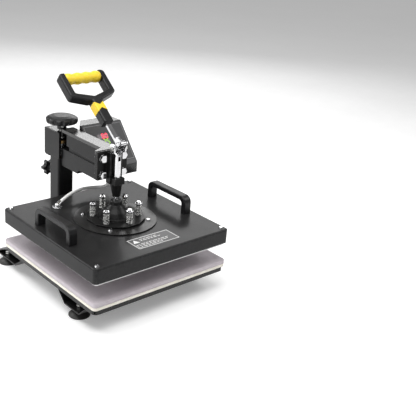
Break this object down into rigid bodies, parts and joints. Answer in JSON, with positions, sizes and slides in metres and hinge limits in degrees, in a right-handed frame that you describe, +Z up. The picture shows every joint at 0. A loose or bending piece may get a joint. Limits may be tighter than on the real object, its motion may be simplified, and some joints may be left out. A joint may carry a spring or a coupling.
{
  "type": "swing-away heat press",
  "caption": "Swing-away heat press: padded lower bed, sprung heated upper platen on a toggle lever with a D handle, swinging column, pressure knob and a control box with displays and keys.",
  "frame": {"origin": "centre of the bounding box at the bottom of the suction feet, on the bench", "axes": "+Z up, +X to the operator's right, +Y away from the operator, towards the swing post"},
  "size_m": [0.396, 0.5034, 0.4859],
  "materials": {
    "black_powder_coat": "satin powder coat",
    "black_paint": "semi-gloss paint",
    "grey_panel": "satin paint",
    "pad_silicone": "matte silicone rubber",
    "cream_foam": "cream sponge rubber",
    "black_rubber": "matte rubber",
    "chrome_plate": "bright chrome plate",
    "zinc_plate": "zinc plated",
    "ground_steel": "ground steel",
    "bronze": "bearing bronze",
    "cast_plate": "coated casting",
    "black_plastic": "moulded, fine texture",
    "yellow_rubber": "soft yellow rubber",
    "mineral_mat": "white mineral fibre mat",
    "red_window": "dark red tinted window",
    "green_window": "dark green tinted window",
    "board_green": "coated circuit board",
    "white_sleeve": "white heat-resistant sleeve",
    "grey_button": "moulded"
  },
  "bodies": {
    "base": {"base_tray": "black_paint", "silicone_pad": "pad_silicone", "foam_pad": "cream_foam", "front_cross_member": "black_powder_coat", "rear_cross_member": "black_powder_coat", "suction_feet": "black_rubber", "foot_nuts": "zinc_plate", "post_foot_plate": "black_powder_coat", "foot_plate_bolts": "zinc_plate", "swing_post": "ground_steel"},
    "thrust_bearing": {"thrust_pad": "bronze"},
    "swing_arm": {"column_tube": "black_powder_coat", "post_bearings": "bronze", "column_head_plates": "black_powder_coat", "column_head_cap": "black_powder_coat", "arm_top_plate": "black_powder_coat", "arm_side_plates": "black_powder_coat", "arm_lower_beam": "black_powder_coat", "arm_end_plate": "black_powder_coat", "press_head": "black_powder_coat", "head_bolts": "zinc_plate", "guide_sleeve": "black_paint", "pivot_blocks": "chrome_plate", "lever_pivot_pin": "zinc_plate", "control_box": "black_powder_coat", "front_panel": "grey_panel", "temperature_display": "red_window", "timer_display": "green_window", "controller_board": "board_green", "solid_state_relay": "black_plastic", "switch_bezel": "black_plastic", "power_inlet": "black_plastic", "box_spacer": "black_powder_coat", "box_cable_gland": "black_plastic"},
    "pressure_knob_and_screw": {"pressure_knob": "black_plastic", "pressure_screw": "zinc_plate"},
    "lock_knob_and_stud": {"lock_knob": "black_plastic", "lock_stud": "zinc_plate"},
    "lever": {"lever_bar": "chrome_plate", "d_handle": "black_plastic", "hand_grip": "yellow_rubber"},
    "toggle": {"toggle_link": "chrome_plate"},
    "upper_platen": {"plunger": "chrome_plate", "link_pin": "ground_steel", "hub": "black_paint", "support_disc": "black_paint", "cover_screws": "zinc_plate", "spring_bolts": "zinc_plate", "platen_springs": "zinc_plate", "platen_cover": "black_powder_coat", "heating_platen": "cast_plate", "heating_element": "ground_steel", "insulation_mat": "mineral_mat", "lift_handles": "black_plastic", "platen_cable_gland": "chrome_plate", "heater_cable": "white_sleeve"},
    "rocker": {"power_rocker": "black_plastic"},
    "down_key": {"down_button": "grey_button"},
    "set_key": {"set_button": "grey_button"},
    "up_key": {"up_button": "grey_button"}
  },
  "joints": [
    {"name": "arm_swing", "type": "hinge", "parent": "base", "child": "thrust_bearing", "pos_m": [0, 0.18375, 0.29], "axis": [0, 0, 1], "range_deg": [-180, 180]},
    {"name": "pressure_knob_turn", "type": "hinge", "parent": "thrust_bearing", "child": "pressure_knob_and_screw", "pos_m": [0, 0.18375, 0.34], "axis": [0, 0, 1], "range_deg": [0, 721]},
    {"name": "arm_lift", "type": "slide", "parent": "thrust_bearing", "child": "swing_arm", "axis": [0, 0, 1], "range_m": [0, 0.004]},
    {"name": "lock_knob_turn", "type": "hinge", "parent": "swing_arm", "child": "lock_knob_and_stud", "pos_m": [0, 0.22325, 0.199], "axis": [0, 1, 0], "range_deg": [0, 720]},
    {"name": "lever_pull", "type": "hinge", "parent": "swing_arm", "child": "lever", "pos_m": [0, -0.05675, 0.338], "axis": [1, 0, 0], "range_deg": [0, 135]},
    {"name": "platen_press", "type": "slide", "parent": "swing_arm", "child": "upper_platen", "axis": [0, 0, -1], "range_m": [0, 0.03947]},
    {"name": "toggle_tilt", "type": "hinge", "parent": "upper_platen", "child": "toggle", "pos_m": [0, -0.05675, 0.32026], "axis": [-1, 0, 0], "range_deg": [0, 24.7]},
    {"name": "rocker_tip", "type": "hinge", "parent": "swing_arm", "child": "rocker", "pos_m": [0.143, 0.14325, 0.243], "axis": [0, 0, 1], "range_deg": [0, 16]},
    {"name": "down_press", "type": "slide", "parent": "swing_arm", "child": "down_key", "axis": [0, 0.7575, -0.6528], "range_m": [0, 0.0005], "stiffness_N_per_m": 300},
    {"name": "set_press", "type": "slide", "parent": "swing_arm", "child": "set_key", "axis": [0, 0.7575, -0.6528], "range_m": [0, 0.0005], "stiffness_N_per_m": 300},
    {"name": "up_press", "type": "slide", "parent": "swing_arm", "child": "up_key", "axis": [0, 0.7575, -0.6528], "range_m": [0, 0.0005], "stiffness_N_per_m": 300}
  ],
  "couplings": [
    {"joint": "pressure_knob_turn", "follows": "arm_lift", "rad_per_m": 3141.6},
    {"joint": "platen_press", "follows": "lever_pull", "m_per_rad": 0.016747},
    {"joint": "toggle_tilt", "follows": "lever_pull", "ratio": 0.1823}
  ]
}
